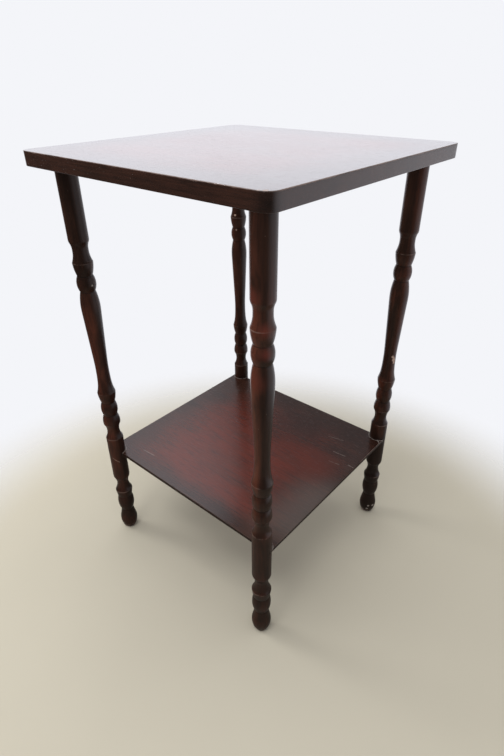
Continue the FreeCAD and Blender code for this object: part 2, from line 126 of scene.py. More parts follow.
def paint(red, green, blue):
    """A colour as it is read off a screen, 0 to 255, turned by the screen's curve into light values."""
    share = np.array((red, green, blue)) / 255
    return tuple(np.where(share <= 0.04045, share / 12.92, ((share + 0.055) / 1.055) ** 2.4))


def colour_field(name, description, default):
    """A colour that a user can change."""
    return bpy.props.FloatVectorProperty(
        name=name, description=description, default=default, subtype="COLOR", min=0, max=1)


def place_field(name, description, default):
    """A place in the table's frame that a user can change."""
    return bpy.props.FloatVectorProperty(
        name=name, description=description, default=default, subtype="TRANSLATION", unit="LENGTH")


def number_field(name, description, default, **kind):
    """A number that a user can change; kind gives its subtype, unit and limits."""
    return bpy.props.FloatProperty(name=name, description=description, default=default, **kind)


def length_field(name, description, default):
    """A length in metres that a user can change."""
    return number_field(name, description, default, subtype="DISTANCE", unit="LENGTH", min=0, precision=5)


def angle_field(name, description, degrees):
    """An angle that a user can change."""
    return number_field(name, description, math.radians(degrees), subtype="ANGLE")


def power_field(name, description, watts):
    """The power of a lamp, which a user can change."""
    return number_field(name, description, watts, unit="POWER", min=0)


class EndTableSizes(bpy.types.PropertyGroup):
    """Sizes of the dressed pieces that the frame doesn't give."""

    top_corner: length_field("Top corner", "Radius of the top's four corners seen from above", 14 * MM)
    top_arris: length_field("Top arris", "Radius of the eased edges of the top", 0.8 * MM)
    top_band: length_field("Top band", "Width of the darker stain along the top's edges", 95 * MM)
    shelf_corner: length_field("Shelf corner", "Radius of the shelf's four corners seen from above", 1.2 * MM)
    shelf_arris: length_field("Shelf arris", "Radius of the eased edges of the shelf", 0.5 * MM)
    rim_softness: length_field("Rim softness", "How far sanding has softened the turned rims", 0.45 * MM)
    kerf_height: length_field("Kerf height", "Height of the saw kerf that takes the shelf", 5.7 * MM)
    bolt_bore: length_field("Bolt bore", "Radius of the bore in a leg's top end", 3.3 * MM)
    bolt_clearance: length_field("Bolt clearance", "Depth of that bore below the end of its bolt", 1 * MM)
    nut_hole: length_field("Nut hole", "Radius of the blind holes in the underside of the top", 5.1 * MM)
    nut_hole_depth: length_field("Nut hole depth", "Depth of those blind holes", 13 * MM)
    nut_bore: length_field("Nut bore", "Radius of the bore of an insert nut", 3.1 * MM)
    nut_thread_depth: length_field("Nut thread depth", "Depth of the thread outside an insert nut", 0.8 * MM)
    wood_thread: length_field("Wood thread", "Pitch of the threads that bite into wood", 2.6 * MM)
    wood_thread_depth: length_field("Wood thread depth", "Depth of a bolt's wood thread", 0.75 * MM)
    machine_thread: length_field("Machine thread", "Pitch of the thread that meets the nut", 1 * MM)
    machine_thread_depth: length_field("Machine thread depth", "Depth of a bolt's machine thread", 0.55 * MM)
    round_columns: bpy.props.IntProperty(
        name="Round columns", description="Faces round a leg, a multiple of four", default=80, min=16)


class EndTableColours(bpy.types.PropertyGroup):
    """Colours of the stain, the bare wood, the fixings and the stage."""

    stain_dark: colour_field("Dark stain", "Stain where it lies thickest", paint(46, 29, 23))
    stain_brown: colour_field("Brown stain", "Stain on most of the wood", paint(70, 42, 32))
    stain_red: colour_field("Red stain", "Thin stain with the wood glowing through", paint(108, 50, 39))
    shelf_middle: colour_field("Shelf middle", "Shelf inside its shaded edges", paint(106, 37, 18))
    leg_dark: colour_field("Dark leg stain", "Stain on the legs where it lies thickest", paint(37, 23, 17))
    leg_brown: colour_field("Brown leg stain", "Stain on most of the legs", paint(64, 39, 28))
    leg_red: colour_field("Red leg stain", "Thin or faded stain on the legs", paint(94, 49, 34))
    # Colour of stain worn thin on edges and rims, also used for the painted highlights along arrises and rims
    rubbed_and_highlight: colour_field("Rubbed edge", "Stain rubbed thin along an edge", paint(142, 120, 110))
    bare_wood: colour_field("Bare wood", "Wood where the finish has chipped off", paint(206, 176, 158))
    # Dark colour of dirt in grooves and pores, also laid as painted shade low on the legs and on the shelf's
    # sides
    grime_and_shade: colour_field("Grime", "Old polish and dirt in the grooves", paint(26, 19, 16))
    dust: colour_field("Dust", "Pale dust and dried polish where boards and legs meet", paint(168, 158, 150))
    steel: colour_field("Steel", "Bolts and nails", paint(176, 176, 174))
    bolt_tarnish: colour_field("Bolt tarnish", "Dull places on the bolts", paint(104, 98, 90))
    nail_tarnish: colour_field("Nail tarnish", "Dull places on the nails", paint(86, 74, 64))
    brass: colour_field("Brass", "Insert nuts", paint(196, 160, 92))
    brass_tarnish: colour_field("Brass tarnish", "Dull places on the insert nuts", paint(118, 88, 52))
    floor: colour_field("Floor", "Floor that the table stands on", paint(200, 193, 175))
    backdrop: colour_field("Backdrop", "Plain backdrop all round the table", paint(244, 245, 249))


class EndTableStage(bpy.types.PropertyGroup):
    """Camera, lights and floor."""

    azimuth: angle_field("Azimuth", "Turn of the camera round the table", 40.72)
    elevation: angle_field("Elevation", "Tilt of the camera above the level", 31.43)
    roll: angle_field("Roll", "Lean of the camera", -0.40)
    place: place_field("Place", "Where the camera stands", (0.4677, -0.5352, 0.7472))
    focal_pixels: number_field("Focal length", "Focal length in pixels", 510.9, min=1, subtype="PIXEL")
    picture_pixels: number_field("Picture height", "Picture height in pixels", 756, min=1, subtype="PIXEL")
    key_power: power_field("Key light", "Power of the large soft light overhead", 40)
    side_power: power_field("Side light", "Power of the soft light from the left", 22)
    glint_power: power_field("Glint lamp", "Power of the lamp that shows as glints on the beads", 6)
    point_power: power_field("Point lamp", "Power of the small lamp that shows as points of light", 7)
    fill: number_field("Fill", "Level of the even light from all round", 0.62, min=0, subtype="FACTOR")
    floor_middle: place_field("Floor middle", "Middle of the floor in the view", (0.098, -0.114, 0.0))
    floor_half: length_field("Floor half width", "Half the width of the floor", 2.5)
    floor_solid: length_field("Floor fade start", "Distance from there where the floor starts to fade", 0.46)
    floor_gone: length_field("Floor fade end", "Distance from there where the floor is gone", 0.74)


def both_ways(operation):
    """An operator that adds a Math node, and its reflected form for a number that stands before the value."""
    def plain(self, other):
        return self.math(operation, self, other)

    def reflected(self, other):
        return self.math(operation, other, self)
    return plain, reflected


class Value:
    """A socket of a node tree. Plus, minus, times, divide and abs on it add Math nodes."""

    __add__, __radd__ = both_ways("ADD")
    __sub__, __rsub__ = both_ways("SUBTRACT")
    __mul__, __rmul__ = both_ways("MULTIPLY")
    __truediv__, __rtruediv__ = both_ways("DIVIDE")

    def __init__(self, finish, socket):
        self.finish, self.socket = finish, socket

    def math(self, operation, first, second=0.0):
        """A Math node on one or two values."""
        return self.finish.node("ShaderNodeMath", {"operation": operation}, {0: first, 1: second})

    def __abs__(self):
        return self.math("ABSOLUTE", self)

    def least(self, other):
        """The smaller of the two."""
        return self.math("MINIMUM", self, other)

    def most(self, other):
        """The larger of the two."""
        return self.math("MAXIMUM", self, other)


class Finish:
    """The node tree of one material or world, and the few patterns that the finishes share."""

    def __init__(self, owner):
        owner.use_nodes = True
        self.owner, self.tree = owner, owner.node_tree
        self.tree.nodes.clear()

    def node(self, kind, settings=None, inputs=None, output=0):
        """Adds a node: its type, its settings, then the values or links of its sockets. Gives one output."""
        node = self.tree.nodes.new(kind)
        for key, value in (settings or {}).items():
            setattr(node, key, value)
        for key, value in (inputs or {}).items():
            if isinstance(value, Value):
                self.tree.links.new(value.socket, node.inputs[key])
            else:
                node.inputs[key].default_value = value
        return Value(self, node.outputs[output]) if node.outputs else None

    def place(self):
        """Object coordinates, which are the table's own frame."""
        return self.node("ShaderNodeTexCoord", output="Object")

    def facing(self):
        """The way the surface faces."""
        return self.node("ShaderNodeNewGeometry", output="Normal")

    def attribute(self, name):
        """A field that the piece carries on its points."""
        return self.node("ShaderNodeAttribute", {"attribute_name": name}, output="Fac")

    def axes(self, vector):
        """The three parts of a vector."""
        return [self.node("ShaderNodeSeparateXYZ", None, {0: vector}, output) for output in "XYZ"]

    def vectors(self, operation, first, second, output=0):
        """A Vector Math node on two vectors."""
        return self.node("ShaderNodeVectorMath", {"operation": operation}, {0: first, 1: second}, output)

    def apart(self, vector, point):
        """Distance from a point."""
        return self.vectors("DISTANCE", vector, point, "Value")

    def noise(self, vector, scale, detail=2.0, rough=0.5, bend=0.0):
        """Cloudy noise from 0 to 1, with a number of clouds to the metre for each axis."""
        stretched = self.node("ShaderNodeMapping", None, {"Vector": vector, "Scale": scale})
        return self.node("ShaderNodeTexNoise", None, {
            "Vector": stretched, "Scale": 1.0, "Detail": detail, "Roughness": rough, "Distortion": bend})

    def between(self, value, low, high):
        """0 at low, 1 at high, with a smooth step between; low may be the larger of the two."""
        return self.node("ShaderNodeMapRange", {"interpolation_type": "SMOOTHSTEP"}, {
            "Value": value, "From Min": low, "From Max": high})

    def specks(self, vector, scale, size):
        """Small round specks: the middles of cells, on the few cells whose own random value is high."""
        picked_from, picked_fully = 0.72, 0.74
        cells = {"Vector": vector, "Scale": scale}
        middle = self.node("ShaderNodeTexVoronoi", None, cells, "Distance")
        picked = self.axes(self.node("ShaderNodeTexVoronoi", None, cells, "Color"))[0]
        return self.between(middle, size, size * 0.5) * self.between(picked, picked_from, picked_fully)

    def mix(self, first, second, factor):
        """Second colour over the first, by the factor."""
        four = [colour if isinstance(colour, Value) else (*colour, 1.0) for colour in (first, second)]
        return self.node("ShaderNodeMix", {"data_type": "RGBA", "clamp_factor": True},
                         {0: factor, 6: four[0], 7: four[1]}, 2)

    def layered(self, colour, *layers):
        """Lays further colours over the first in turn, each by its own factor."""
        for shade, factor in layers:
            colour = self.mix(colour, shade, factor)
        return colour

    def scratch(self, vector, start, end, width):
        """1 on the straight line from start to end, fading to 0 at half its width: distance from the nearest
        point of the line, found by dropping the place onto it."""
        run = Vector(end) - Vector(start)
        from_start = self.vectors("SUBTRACT", vector, start)
        share = self.vectors("DOT_PRODUCT", from_start, run / run.length_squared, "Value")
        foot = self.node("ShaderNodeVectorMath", {"operation": "SCALE"}, {
            0: tuple(run), "Scale": share.most(0.0).least(1.0)})
        return self.between(self.vectors("DISTANCE", from_start, foot, "Value"), width / 2, width / 8)

    def bump(self, strength, depth, height):
        """Relief from a pattern of heights from 0 to 1, of that depth."""
        return self.node("ShaderNodeBump", None, {"Strength": strength, "Distance": depth, "Height": height})

    def surface(self, shader):
        """Ends the material with this shader."""
        self.node("ShaderNodeOutputMaterial", None, {"Surface": shader})
        return self.owner

    def lacquer(self, colour, roughness, coat, height, gloss):
        """Stained wood under clear lacquer, with a shallow relief from a pattern of heights."""
        relief = 0.1 * MM
        return self.surface(self.node("ShaderNodeBsdfPrincipled", None, {
            "Base Color": colour, "Roughness": roughness, "Coat Weight": coat,
            "Normal": self.bump(1.0, relief, height), **gloss}))


def new_finish(name):
    """A new material with an empty node tree."""
    return Finish(bpy.data.materials.new(name))


def middle_of(node):
    """Middle of a node's box in the frame."""
    low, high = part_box(node)
    return (low + high) / 2


def beside_leg(corner, bearing, away, height):
    """A place on a leg: a bearing in degrees round its axis, a distance from the axis, and a height."""
    axis, turn = middle_of(f"leg_{corner}"), math.radians(bearing)
    return axis.x + away * math.cos(turn), axis.y + away * math.sin(turn), height


def placed(marks, where):
    """Marks with each of their places turned by the function where into a point of the table's frame."""
    return [[where(*item) if isinstance(item, tuple) else item for item in mark] for mark in marks]


def grain(finish, place, along):
    """Wood grain along one axis: broad figure, fine fibre, dark pores and dark streaks, each from 0 to 1."""
    def run(cross, length):
        """Clouds to the metre for each axis, from those across the grain and those along it."""
        return tuple(length if axis == along else cross for axis in range(3))
    figure = finish.noise(place, run(30, 2.4), detail=3, rough=0.55, bend=0.8)
    fibre = finish.noise(place, run(480, 14), detail=3, rough=0.6)
    pores = finish.between(finish.noise(place, run(1500, 70)), 0.60, 0.70)
    streaks = finish.between(finish.noise(place, run(300, 24), detail=3, rough=0.75), 0.46, 0.64)
    return figure, fibre, pores, streaks


def marked(finish, place, worn, colour, marks):
    """Lays the marks of use over a colour, and gives how bare they leave the wood. Each mark has a kind, the
    name of its colour, a strength and its place: a chip is all within a size of its point, a scratch all near
    its line, and a ring all near a circle, each broken up by the worn pattern; a bloom is a wide patch that
    fades from its point."""
    colours = bpy.context.scene.end_table_colours
    bare = 0.0 * worn
    for kind, tone, strength, *where in marks:
        if kind == "chip":
            point, size = where
            mark = finish.between(finish.apart(place, point) + (worn - 0.5) * size * 1.6, size, size * 0.5)
        elif kind == "scratch":
            mark = finish.scratch(place, *where) * finish.between(worn, 0.30, 0.55)
        elif kind == "ring":
            point, radius, width = where
            mark = finish.between(abs(finish.apart(place, point) - radius), width, width * 0.2)
            mark = mark * finish.between(worn, 0.25, 0.60)
        else:
            point, size = where
            mark = finish.between(finish.apart(place, point), size, 0.0)
        colour = finish.mix(colour, getattr(colours, tone), mark * strength)
        # Stain and grime leave no wood bare
        if not tone.startswith(("stain", "shelf", "grime_and_shade")):
            bare = bare.most(mark * strength)
    return colour, bare


def board_finish(name, box, middle, bands, rub_and_highlight, gloss, marks):
    """A flat board: grain along X, worn along its arrises and given a painted highlight there, both by a
    share, dull underneath. Bands are the widths of the darker stain along its left, right, front and back
    edges. Gloss gives the weight of the lacquer on the upper face and on the sides, its blur, how strongly
    the lacquer and the wood mirror, and how much darker its sides are made."""
    colours = bpy.context.scene.end_table_colours
    finish = new_finish(name)
    place = finish.place()
    x, y, _ = finish.axes(place)
    figure, fibre, pores, streaks = grain(finish, place, 0)
    cloud = finish.noise(place, (11, 11, 11), detail=3, rough=0.55)
    worn = finish.noise(place, (260, 260, 260), detail=3, rough=0.6)
    patchy = finish.noise(place, (34, 34, 34))
    arris = finish.attribute("arris")

    low, high = box
    left, right, front, back = bands
    ragged = (cloud - 0.5) * 0.5
    open_part = 1.0
    for inside in ((x - low.x) / left, (high.x - x) / right, (y - low.y) / front, (high.y - y) / back):
        open_part = open_part * finish.between(inside + ragged, 0.05, 1.0)
    tone = figure * 0.45 + fibre * 0.35 + cloud * 0.3
    edge = finish.mix(colours.stain_dark, colours.stain_brown, finish.between(tone, 0.35, 0.75))
    heart = finish.mix(colours.stain_brown, middle, finish.between(tone, 0.30, 0.62))
    # Worn arrises, which also carry a painted highlight along the edge
    rubbed_and_highlight = finish.between(arris + (worn - 0.5) * 0.7 + (patchy - 0.5) * 1.1, 0.62, 0.95) * rub_and_highlight
    colour = finish.layered(
        edge, (heart, open_part),
        (colours.grime_and_shade, (pores * 0.45).most(streaks * 0.44)),
        (colours.rubbed_and_highlight, rubbed_and_highlight),
        (colours.rubbed_and_highlight, finish.specks(place, 95, 0.055) * 0.35))
    colour, bare = marked(finish, place, worn, colour, marks)

    upward = finish.axes(finish.facing())[2]
    above, below = finish.between(upward, 0.4, 0.8), finish.between(upward, -0.6, -0.9)
    # Browner underneath; the upright sides are made darker, by a share
    colour = finish.layered(
        colour, (colours.stain_brown, below * 0.6),
        (colours.grime_and_shade, (1.0 - above) * (1.0 - below) * gloss["darker_sides"]))
    roughness = 0.24 + (cloud - 0.5) * 0.10 + pores * 0.10
    roughness = roughness.most(below * 0.75).most(bare * 0.7).most(arris * 0.5)
    coat = (gloss["side"] + above * (gloss["face"] - gloss["side"])) * (1.0 - below) * (1.0 - bare * 0.5)
    coat = coat * (1.0 - arris * 0.8)
    height = fibre * 0.5 + cloud * 0.3 - pores * 0.35 - bare * 1.2
    return finish.lacquer(colour, roughness, coat, height, {
        "Coat Roughness": gloss["blur"], "Coat IOR": gloss["lacquer"], "IOR": gloss["wood"]})


def turned_finish(corner, lit_bearing, faded, fade, gloss, marks):
    """A turned leg: grain along Z, dirt in the grooves, painted shade towards the floor, rims worn light with
    a painted highlight that grows on the lit side, a scuffed foot, red where the stain is thin, and red
    painted light on the lit side."""
    # Lengths over which the painted light on the lit side starts and ends, then the heights over which the
    # painted shade towards the floor and each kind of wear set in
    light_in, light_out = 0.08, 0.06
    shade_top, shade_full = 0.30, 0.05
    scuff_top, scuff_full = 0.016, 0.002
    bruise_top, bruise_full = 0.012, 0.004
    rim_low, rim_high = 0.20, 0.45
    colours = bpy.context.scene.end_table_colours
    finish = new_finish(f"turned_{corner}")
    place = finish.place()
    z = finish.axes(place)[2]
    figure, fibre, pores, streaks = grain(finish, place, 2)
    patches = finish.noise(place, (38, 38, 13), detail=3, rough=0.55, bend=0.4)
    worn = finish.noise(place, (240, 240, 300), detail=3, rough=0.6)
    lathe_marks = finish.noise(place, (6, 6, 900))
    rim, groove, belly = (finish.attribute(field) for field in ("rim", "groove", "belly"))

    tone = figure * 0.55 + fibre * 0.2 + patches * 0.35
    # Painted light: red on the side of the leg that faces the given bearing, between the given heights, at
    # the given strength
    bearing = math.radians(lit_bearing)
    lit_facing = finish.vectors(
        "DOT_PRODUCT", finish.facing(), (math.cos(bearing), math.sin(bearing), 0.0), "Value")
    low, high = faded
    painted_light = finish.between(lit_facing, 0.45, 1.0) * finish.between(patches, 0.25, 0.60) * fade
    painted_light = painted_light * finish.between(z, low - light_in, low + light_in)
    painted_light = painted_light * finish.between(z, high + light_out, high - light_out)
    thin = finish.between(patches + belly * 0.10 + (fibre - 0.5) * 0.12, 0.52, 0.82) * 0.5
    # The rims are worn light and also carry a painted highlight, which grows on the lit side
    broken = (worn - 0.5) * 1.3 + (patches - 0.5) * 1.4 + lit_facing * 0.5 - 0.25
    rubbed_and_highlight = finish.between(rim + broken, 0.75, 1.30)
    scuffed = finish.between(z, scuff_top, scuff_full)
    specks = finish.specks(place, 120, 0.06 + scuffed * 0.16)
    bruised = finish.between(z, bruise_top, bruise_full) * finish.between(worn, 0.40, 0.60)
    colour = finish.layered(
        colours.leg_dark, (colours.leg_brown, finish.between(tone, 0.38, 0.80)),
        # Red for thin stain, and the red painted light on the lit side
        (colours.leg_red, thin.most(painted_light)),
        # Painted shade: the legs darker towards the floor
        (colours.grime_and_shade, finish.between(z, shade_top, shade_full) * 0.42),
        (colours.grime_and_shade, (pores * 0.35).most(streaks * 0.34)),
        (colours.grime_and_shade, finish.between(groove + (worn - 0.5) * 0.4, 0.15, 0.85) * 0.85),
        (colours.rubbed_and_highlight, rubbed_and_highlight * (0.32 + finish.between(z, rim_low, rim_high) * 0.10)),
        (colours.bare_wood, specks * (0.25 + scuffed * 0.5)),
        (colours.rubbed_and_highlight, bruised * 0.5))
    marks = placed(marks, lambda *spot: beside_leg(corner, *spot))
    colour, bare = marked(finish, place, worn, colour, marks)

    roughness = 0.34 + (patches - 0.5) * 0.12 + pores * 0.10 + groove * 0.15
    roughness = roughness.most(bare * 0.7).most(rubbed_and_highlight * 0.42)
    coat = gloss * (1.0 - groove * 0.8) * (1.0 - bare)
    height = fibre * 0.4 + lathe_marks * 0.35 - pores * 0.35 - bare * 1.2
    return finish.lacquer(colour, roughness, coat, height, {"Coat Roughness": 0.12, "IOR": 1.26})


def metal_finish(name, colour, tarnish):
    """Plain fixing metal with fine drawn marks, dulled here and there by tarnish."""
    mark_depth = 0.04 * MM
    finish = new_finish(name)
    place = finish.place()
    drawn = finish.noise(place, (900, 900, 60))
    dull = finish.between(finish.noise(place, (240, 240, 240), detail=3, rough=0.6), 0.45, 0.72)
    return finish.surface(finish.node("ShaderNodeBsdfPrincipled", None, {
        "Base Color": finish.mix(colour, tarnish, dull * 0.55), "Metallic": 1.0 - dull * 0.35,
        "Roughness": 0.26 + drawn * 0.12 + dull * 0.28, "Normal": finish.bump(0.6, mark_depth, drawn)}))


def add_object(name, data):
    """A new object in the scene."""
    thing = bpy.data.objects.new(name, data)
    bpy.context.scene.collection.objects.link(thing)
    return thing


def full_turn(columns):
    """Angles of that many columns, spread evenly round a circle."""
    return np.arange(columns) * 2 * math.pi / columns


def grid_faces(rows, columns, round_trip=True):
    """Corner numbers of the quads of a grid of rows by columns; if round, the last column meets the first."""
    index = np.arange(rows * columns).reshape(rows, columns)
    right = np.roll(index, -1, axis=1) if round_trip else index[:, 1:]
    left = index if round_trip else index[:, :-1]
    return np.stack((left[:-1], right[:-1], right[1:], left[1:]), axis=-1)


def revolve(radius, height, centre, angles):
    """Points of a turned surface: each row's radius, or one for each column, carried round the centre."""
    radius = np.broadcast_to(np.atleast_2d(np.asarray(radius).T).T, (len(height), len(angles)))
    return np.stack((centre[0] + radius * np.cos(angles), centre[1] + radius * np.sin(angles),
                     np.broadcast_to(height[:, None], radius.shape)), axis=-1).reshape(-1, 3)


def turned_patch(radius, height, centre, angles):
    """A turned surface all the way round: its points and its quads."""
    return revolve(radius, height, centre, angles), grid_faces(len(height), len(angles))


def closed_mesh(name, parts, fields=None):
    """Joins patches of points and quads into one closed mesh. Points that meet are merged, faces are turned
    outwards, and each named field becomes a point attribute."""
    starts = np.cumsum([0] + [len(points) for points, _ in parts[:-1]])
    points = np.concatenate([points for points, _ in parts])
    quads = np.concatenate([quads.reshape(-1, 4) + start for (_, quads), start in zip(parts, starts)])
    mesh = bpy.data.meshes.new(name)
    mesh.from_pydata(points, [], quads)
    for field, values in (fields or {}).items():
        mesh.attributes.new(field, "FLOAT", "POINT").data.foreach_set("value", values.astype(np.float32))
    shell = bmesh.new()
    shell.from_mesh(mesh)
    bmesh.ops.remove_doubles(shell, verts=shell.verts, dist=MERGE_REACH)
    bmesh.ops.dissolve_degenerate(shell, edges=shell.edges, dist=SLIVER)
    bmesh.ops.recalc_face_normals(shell, faces=shell.faces)
    if any(not edge.is_manifold for edge in shell.edges):
        raise RuntimeError(f"{name} isn't closed")
    shell.to_mesh(mesh)
    shell.free()
    return mesh


def make_piece(name, parts, finish, replaced, fields=None):
    """A dressed piece made of patches, shaded smooth, with its finish, in place of the node it replaces."""
    mesh = closed_mesh(name, parts, fields)
    mesh.shade_smooth()
    mesh.set_sharp_from_angle(angle=SHARP_TURN)
    mesh.materials.append(finish)
    piece = add_object(name, mesh)
    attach(piece, "root")
    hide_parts(replaced)
    return piece


def soften(values, width):
    """Running average along a leg, weighted by a bell curve of that width, the ends held."""
    reach = int(math.ceil(3 * width / LEG_STEP))
    bell = np.exp(-0.5 * (np.arange(-reach, reach + 1) * LEG_STEP / width) ** 2)
    return np.convolve(np.pad(values, reach, mode="edge"), bell / bell.sum(), mode="valid")


def leg_outline(node, softness):
    """Heights and radii of a turned leg. The frame's solid gives rings of points, of which those that are
    whole and lie outside count. A cubic through them keeps its slope across a ring on a curve. It breaks at a
    rim or groove, where the line makes a sharp turn, and each side's slope there is carried on from its own
    two stretches."""
    whole_ring, outside_share, digits, level_slope = 20, 0.5, 5, 1e-9
    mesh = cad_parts[node].data
    points = np.empty(len(mesh.vertices) * 3, np.float32)
    mesh.vertices.foreach_get("co", points)
    points = points.reshape(-1, 3).astype(float)
    middle = (points.min(axis=0) + points.max(axis=0)) / 2
    away = np.hypot(points[:, 0] - middle[0], points[:, 1] - middle[1])
    levels, ring, count = np.unique(points[:, 2].round(digits), return_inverse=True, return_counts=True)
    reach = np.zeros(len(levels))
    np.maximum.at(reach, ring, away)
    whole = (count > whole_ring) & (reach > outside_share * reach.max())
    levels, reach = levels[whole], reach[whole]

    run, slope = np.diff(levels), np.diff(reach) / np.diff(levels)
    before, after = slope[:-1], slope[1:]
    corner = np.abs(np.arctan(after) - np.arctan(before)) > RIM_TURN
    heavy, light = 2 * run[1:] + run[:-1], run[1:] + 2 * run[:-1]
    same = before * after > level_slope
    pull = heavy / np.where(same, before, 1) + light / np.where(same, after, 1)
    shared = np.where(same, (heavy + light) / np.where(same, pull, 1), 0)
    onward = np.append(after, after[-1])[1:]
    earlier = np.append(before[0], before)[:-1]
    leaving = np.append(slope[0], np.where(corner, 1.5 * after - 0.5 * onward, shared))
    arriving = np.append(np.where(corner, 1.5 * before - 0.5 * earlier, shared), slope[-1])

    height = np.arange(levels[0], levels[-1] + LEG_STEP / 2, LEG_STEP)
    part = np.clip(np.searchsorted(levels, height, side="right") - 1, 0, len(run) - 1)
    share = (height - levels[part]) / run[part]
    rest = 1 - share
    radius = reach[part] * (1 + 2 * share) * rest ** 2 + reach[part + 1] * share ** 2 * (3 - 2 * share)
    radius += run[part] * share * rest * (leaving[part] * rest - arriving[part] * share)
    return height, soften(radius, softness), middle[:2]


def leg_rows(height, radius, kerf):
    """Heights of a leg's rows of points, closer together where its outline bends: even steps of a running sum
    of 1 plus a share of the root of the bend. The floor and the ceiling of the kerf are rows of their own."""
    count, crowding_share = 400, 1.4
    bend_width, apart = 0.4 * MM, 0.4 * MM
    bend = np.abs(np.gradient(np.gradient(radius, LEG_STEP), LEG_STEP))
    spread = np.cumsum(1 + crowding_share * np.sqrt(soften(bend, bend_width)))
    rows = np.interp(np.linspace(spread[0], spread[-1], count), spread, height)
    clear = np.abs(rows[:, None] - kerf).min(axis=1) > apart
    return np.unique(np.concatenate((rows[clear], kerf)))


def leg_fields(height, radius, level):
    """How the turning stands out, from 0 to 1 at each level: a rim above the average of what is close by, a
    groove below it, and a belly above the average of a wide stretch."""
    close, wide = 1 * MM, 16 * MM
    rim_full, groove_full, belly_full = 0.10 * MM, 0.3 * MM, 1.2 * MM
    fine, broad = (radius - soften(radius, width) for width in (close, wide))
    shares = {"rim": fine / rim_full, "groove": -fine / groove_full, "belly": broad / belly_full}
    return {name: np.interp(level, height, np.clip(share, 0, 1)) for name, share in shares.items()}


def kerf_patches(line, level, rows, centre, half_turn):
    """The inside of a kerf: half discs for its floor and ceiling, which are rows that shrink to the axis, and
    a flat back through the axis."""
    rings = 5
    reach = np.linspace(0, 1, rings)
    patches = []
    for row in rows:
        disc = revolve(line[row] * reach, np.full(rings, level[row]), centre, half_turn)
        patches.append((disc, grid_faces(rings, len(half_turn), False)))
    across = np.concatenate((-reach[:0:-1], reach))
    rise = level[rows[0]:rows[1] + 1]
    back = np.broadcast_arrays(centre[0] + line[rows[0]] * across[None, :], centre[1], rise[:, None])
    patches.append((np.stack(back, axis=-1).reshape(-1, 3), grid_faces(len(rise), len(across), False)))
    return patches


def kerfed_leg(sizes, corner):
    """A leg's patches and wear fields: its outline carried round its axis, from the middle of the foot to the
    floor of the bore in its top end, without the quads of the half turn that the kerf takes out."""
    foot_ring_share = 0.6
    columns = sizes.round_columns
    height, radius, centre = leg_outline(f"leg_{corner}", sizes.rim_softness)
    kerf = np.array((SHELF_BOX[0].z, SHELF_BOX[0].z + sizes.kerf_height))
    rows = leg_rows(height, radius, kerf)
    around = np.interp(rows, height, radius)
    bore_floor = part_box(f"hanger_bolt_{corner}")[0].z - sizes.bolt_clearance
    line = np.concatenate(([0, around[0] * foot_ring_share], around, [sizes.bolt_bore, sizes.bolt_bore, 0]))
    level = np.concatenate(([rows[0], rows[0]], rows, [rows[-1], bore_floor, bore_floor]))

    # The first half turn faces the middle of the table, and the kerf is cut there
    angles = full_turn(columns) + (0 if corner.startswith("front") else math.pi)
    points, faces = turned_patch(line, level, centre, angles)
    kerf_rows = [int(np.flatnonzero(np.isclose(level, end))[0]) for end in kerf]
    cut = np.zeros(faces.shape[:2], bool)
    cut[kerf_rows[0]:kerf_rows[1], :columns // 2] = True
    parts = [(points, faces[~cut]), *kerf_patches(line, level, kerf_rows, centre, angles[:columns // 2 + 1])]
    inner = np.zeros(sum(len(points) for points, _ in parts[1:]))
    fields = {name: np.append(np.repeat(values, columns), inner)
              for name, values in leg_fields(height, radius, level).items()}
    return parts, fields


class EndTableMakeLegs(bpy.types.Operator):
    """Turned legs, bored for their bolts and kerfed half way through for the shelf"""

    bl_idname = "end_table.make_legs"
    bl_label = "Make Legs"

    def execute(self, context):
        for corner in CORNERS:
            parts, fields = kerfed_leg(context.scene.end_table_sizes, corner)
            finish = turned_finish(corner, **LEG_WEAR[corner])
            make_piece(f"turned_leg_{corner}", parts, finish, f"leg_{corner}", fields)
        return {"FINISHED"}


